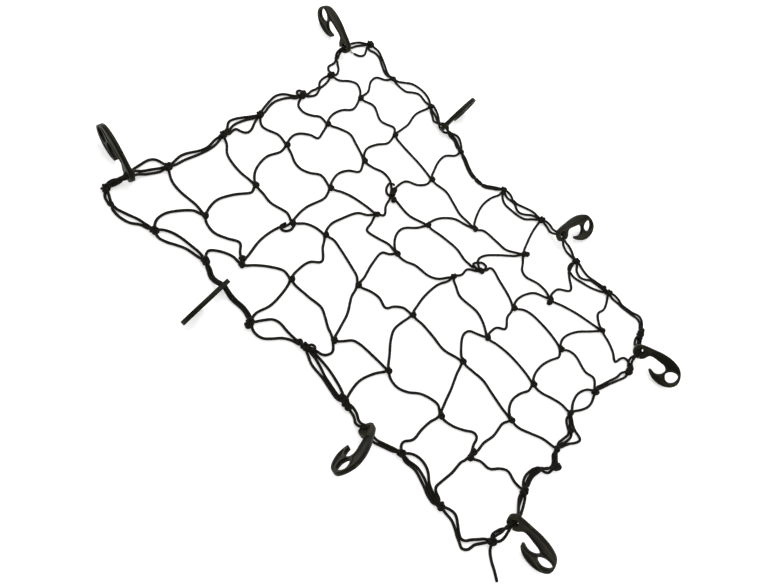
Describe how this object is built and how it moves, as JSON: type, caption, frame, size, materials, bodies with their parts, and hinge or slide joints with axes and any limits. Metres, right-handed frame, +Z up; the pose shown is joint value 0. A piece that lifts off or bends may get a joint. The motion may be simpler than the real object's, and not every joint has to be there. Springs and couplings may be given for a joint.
{
  "type": "cargo net",
  "caption": "Elastic cord cargo net, hand-knotted square mesh with a doubled border and plastic clip-on hooks, laid out slack.",
  "frame": {"origin": "on the surface that the net lies on, under the middle of the whole net with its hooks", "axes": "+X along the net's long sides, towards the border whose loose end lies outside it; +Y across the net towards the far border; +Z up"},
  "size_m": [0.7249, 0.548, 0.0394],
  "materials": {
    "cord": "braided elastic cord, matte black with a faint olive cast",
    "hook_plastic": "moulded black plastic, satin"
  },
  "bodies": {
    "root": {"course_far_1": "cord", "course_far_2": "cord", "course_far_3": "cord", "course_far_4": "cord", "course_far_5": "cord", "course_far_6": "cord", "course_far_7": "cord", "course_left_1": "cord", "course_left_2": "cord", "course_left_3": "cord", "course_left_4": "cord", "course_left_5": "cord", "border_far_1": "cord", "border_far_2": "cord", "border_far_3": "cord", "border_far_4": "cord", "border_left_1": "cord", "border_left_2": "cord", "border_left_3": "cord", "border_near_1": "cord", "border_near_2": "cord", "border_near_3": "cord", "border_near_4": "cord", "border_right_1": "cord", "border_right_2": "cord", "border_right_3": "cord", "hook_far_1": "hook_plastic", "hook_far_2": "hook_plastic", "hook_far_left": "hook_plastic", "hook_far_right": "hook_plastic", "hook_near_1": "hook_plastic", "hook_near_2": "hook_plastic", "hook_near_left": "hook_plastic", "hook_near_right": "hook_plastic", "tail_far": "cord", "tail_near": "cord"}
  },
  "joints": []
}
